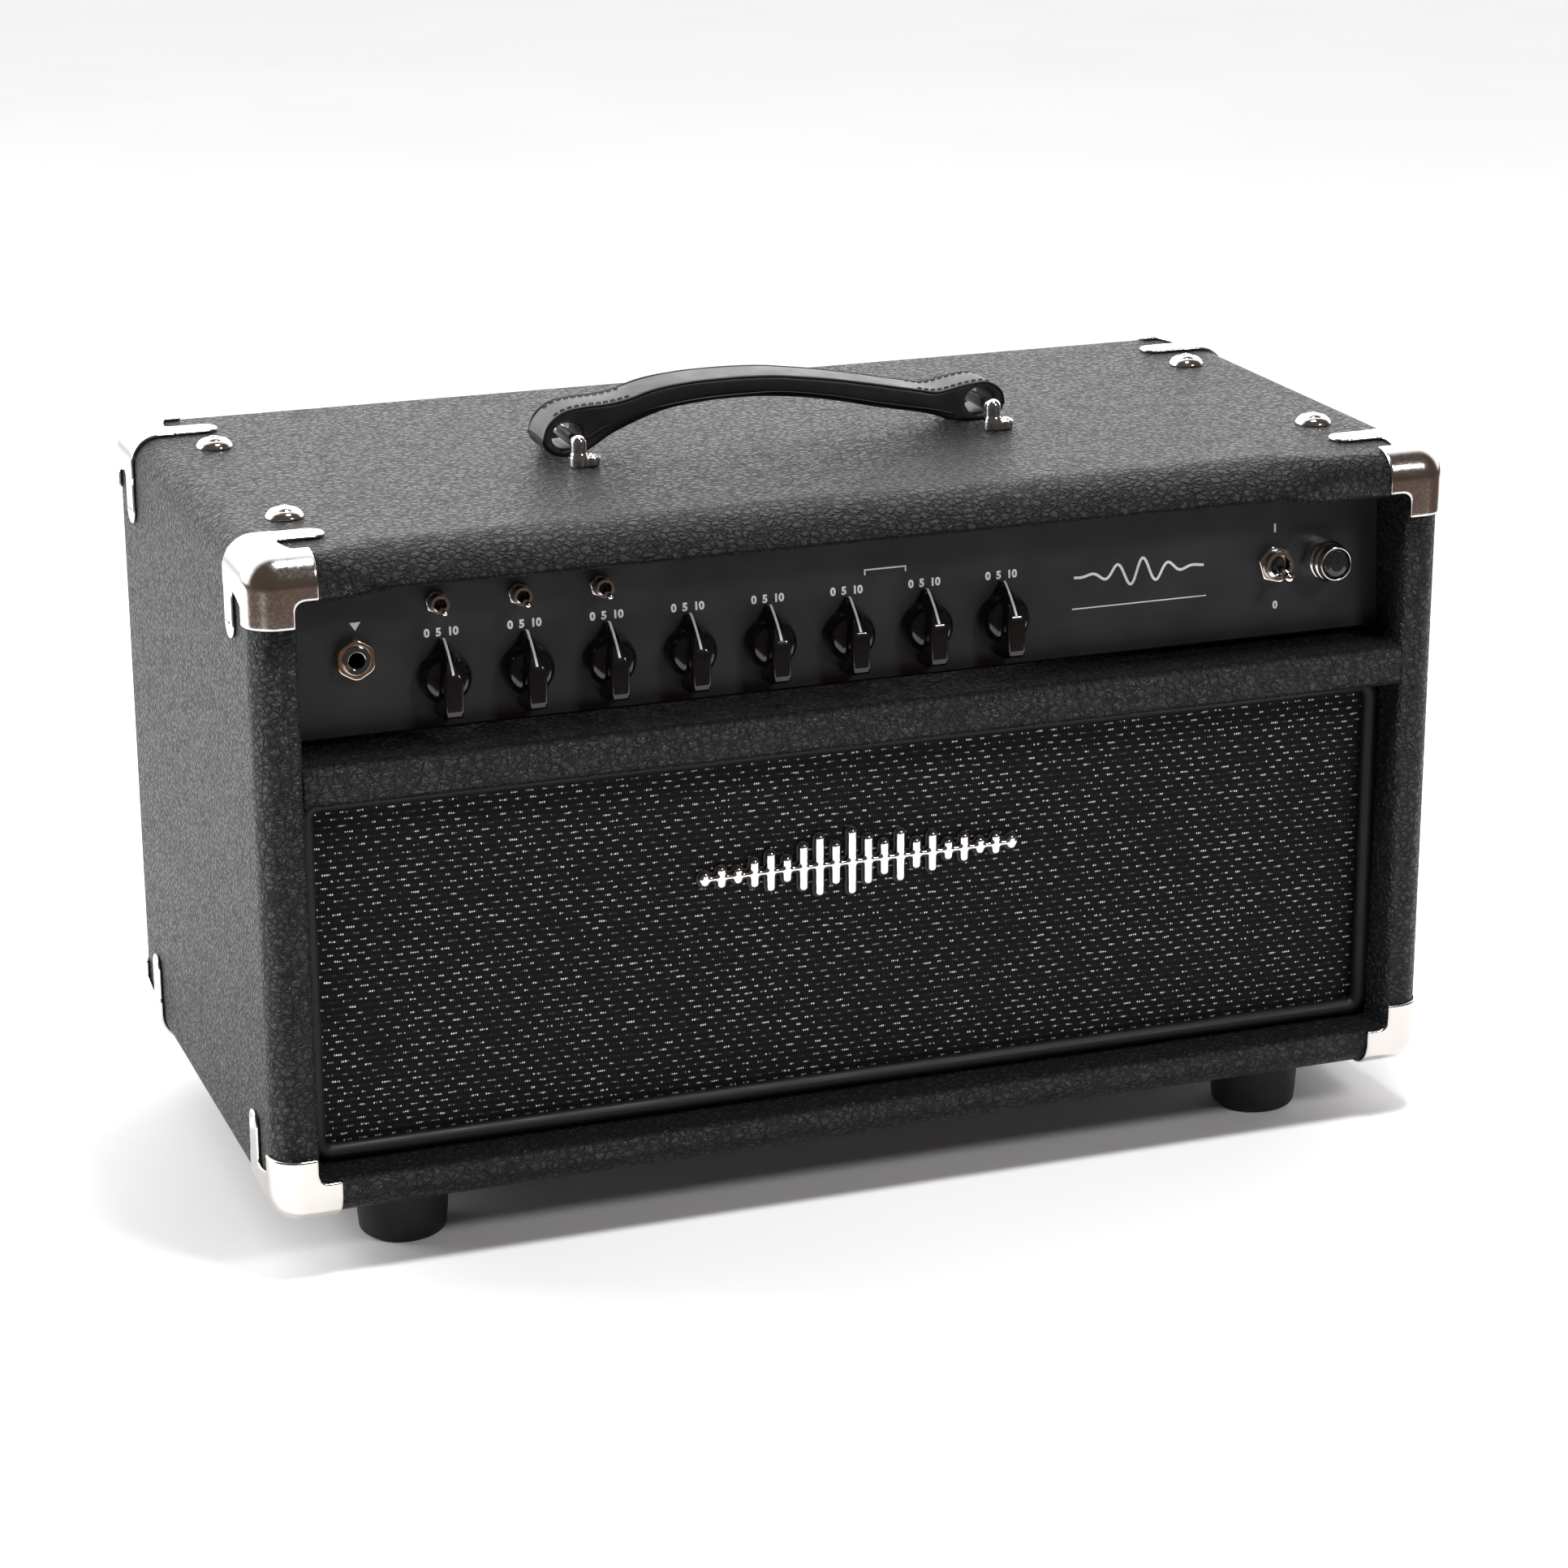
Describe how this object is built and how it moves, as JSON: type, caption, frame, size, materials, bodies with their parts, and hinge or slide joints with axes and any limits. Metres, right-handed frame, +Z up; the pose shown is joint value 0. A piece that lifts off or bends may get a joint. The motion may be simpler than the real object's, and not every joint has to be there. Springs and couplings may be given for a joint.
{
  "type": "guitar amp head",
  "caption": "Compact valve guitar amplifier head: black covered wooden cabinet, tilted control panel with pointer knobs, cloth grille, strap handle and rubber feet.",
  "frame": {"origin": "on the floor under the centre of the whole object", "axes": "+Z up, -Y towards the front with the knobs, +X to the right of a person facing the front"},
  "size_m": [0.5048, 0.2544, 0.3208],
  "materials": {
    "covered_board": "wood boards under black grained vinyl",
    "plywood": "raw plywood",
    "grille_fabric": "black weave with silver thread",
    "black_vinyl": "satin vinyl piping",
    "chrome": "bright nickel and chrome plate",
    "zinc_steel": "zinc plated steel",
    "black_mesh": "black powder coat",
    "foot_rubber": "matte moulded rubber",
    "strap_leather": "smooth satin leather",
    "panel_black": "satin black",
    "black_plastic": "moulded",
    "knob_gloss": "polished moulding with a white pointer line",
    "shaft_aluminium": "turned",
    "lamp_glass": "faceted clear jewel",
    "board_green": "fibreglass board",
    "iron_core": "black lacquered laminations",
    "tube_glass": "clear glass"
  },
  "bodies": {
    "cabinet": {"cabinet_top": "covered_board", "cabinet_bottom": "covered_board", "cabinet_left": "covered_board", "cabinet_right": "covered_board", "front_rail": "covered_board", "grille_baffle": "plywood", "grille_cloth": "grille_fabric", "grille_piping": "black_vinyl", "grille_emblem": "chrome", "rear_panel": "covered_board", "rear_vent_mesh": "black_mesh", "rear_panel_screws": "zinc_steel", "rear_cleats": "plywood", "corner_protectors": "chrome", "corner_screws": "chrome", "chassis_screws": "chrome", "chassis_cup_washers": "chrome", "rubber_feet": "foot_rubber", "foot_screws": "zinc_steel", "handle_brackets": "chrome", "handle_screws": "chrome", "chassis": "zinc_steel", "control_panel": "panel_black", "input_jack": "black_plastic", "panel_nuts": "chrome", "potentiometers": "zinc_steel", "toggle_switches": "chrome", "pilot_bezel": "chrome", "pilot_jewel": "lamp_glass", "mains_inlet": "black_plastic", "fuse_holder": "black_plastic", "rear_jacks": "black_plastic", "mains_switch": "black_plastic", "circuit_board": "board_green", "transformers": "iron_core", "power_tubes": "tube_glass", "preamp_tubes": "tube_glass", "reverb_tank": "zinc_steel"},
    "control_treble": {"knob_treble": "knob_gloss", "shaft_treble": "shaft_aluminium"},
    "control_middle": {"knob_middle": "knob_gloss", "shaft_middle": "shaft_aluminium"},
    "control_bass": {"knob_bass": "knob_gloss", "shaft_bass": "shaft_aluminium"},
    "control_gain": {"knob_gain": "knob_gloss", "shaft_gain": "shaft_aluminium"},
    "control_master": {"knob_master": "knob_gloss", "shaft_master": "shaft_aluminium"},
    "control_send": {"knob_send": "knob_gloss", "shaft_send": "shaft_aluminium"},
    "control_return": {"knob_return": "knob_gloss", "shaft_return": "shaft_aluminium"},
    "control_presence": {"knob_presence": "knob_gloss", "shaft_presence": "shaft_aluminium"},
    "mini_switch_left": {"mini_lever_left": "chrome"},
    "mini_switch_middle": {"mini_lever_middle": "chrome"},
    "mini_switch_right": {"mini_lever_right": "chrome"},
    "standby_switch": {"standby_lever": "chrome"},
    "mains_rocker_body": {"mains_rocker": "black_plastic"},
    "handle": {"handle_strap": "strap_leather"}
  },
  "joints": [
    {"name": "turn_treble", "type": "hinge", "parent": "cabinet", "child": "control_treble", "pos_m": [-0.171, -0.10389, 0.23473], "axis": [0, -0.9969, 0.0785], "range_deg": [-150, 150]},
    {"name": "turn_middle", "type": "hinge", "parent": "cabinet", "child": "control_middle", "pos_m": [-0.1377, -0.10389, 0.23473], "axis": [0, -0.9969, 0.0785], "range_deg": [-150, 150]},
    {"name": "turn_bass", "type": "hinge", "parent": "cabinet", "child": "control_bass", "pos_m": [-0.1044, -0.10389, 0.23473], "axis": [0, -0.9969, 0.0785], "range_deg": [-150, 150]},
    {"name": "turn_gain", "type": "hinge", "parent": "cabinet", "child": "control_gain", "pos_m": [-0.0711, -0.10389, 0.23473], "axis": [0, -0.9969, 0.0785], "range_deg": [-150, 150]},
    {"name": "turn_master", "type": "hinge", "parent": "cabinet", "child": "control_master", "pos_m": [-0.0378, -0.10389, 0.23473], "axis": [0, -0.9969, 0.0785], "range_deg": [-150, 150]},
    {"name": "turn_send", "type": "hinge", "parent": "cabinet", "child": "control_send", "pos_m": [-0.0045, -0.10389, 0.23473], "axis": [0, -0.9969, 0.0785], "range_deg": [-150, 150]},
    {"name": "turn_return", "type": "hinge", "parent": "cabinet", "child": "control_return", "pos_m": [0.0288, -0.10389, 0.23473], "axis": [0, -0.9969, 0.0785], "range_deg": [-150, 150]},
    {"name": "turn_presence", "type": "hinge", "parent": "cabinet", "child": "control_presence", "pos_m": [0.0621, -0.10389, 0.23473], "axis": [0, -0.9969, 0.0785], "range_deg": [-150, 150]},
    {"name": "flip_mini_left", "type": "hinge", "parent": "cabinet", "child": "mini_switch_left", "pos_m": [-0.1727, -0.10506, 0.26451], "axis": [-1, 0, 0], "range_deg": [0, 25]},
    {"name": "flip_mini_middle", "type": "hinge", "parent": "cabinet", "child": "mini_switch_middle", "pos_m": [-0.1397, -0.10506, 0.26451], "axis": [-1, 0, 0], "range_deg": [0, 25]},
    {"name": "flip_mini_right", "type": "hinge", "parent": "cabinet", "child": "mini_switch_right", "pos_m": [-0.1067, -0.10506, 0.26451], "axis": [-1, 0, 0], "range_deg": [0, 25]},
    {"name": "flip_standby", "type": "hinge", "parent": "cabinet", "child": "standby_switch", "pos_m": [0.184, -0.10525, 0.24547], "axis": [-1, 0, 0], "range_deg": [0, 36]},
    {"name": "rock_mains", "type": "hinge", "parent": "cabinet", "child": "mains_rocker_body", "pos_m": [0.118, 0.1045, 0.244], "axis": [-1, 0, 0], "range_deg": [0, 22]},
    {"name": "lift_handle", "type": "slide", "parent": "cabinet", "child": "handle", "axis": [0, 0, 1], "range_m": [0, 0.0022]}
  ]
}
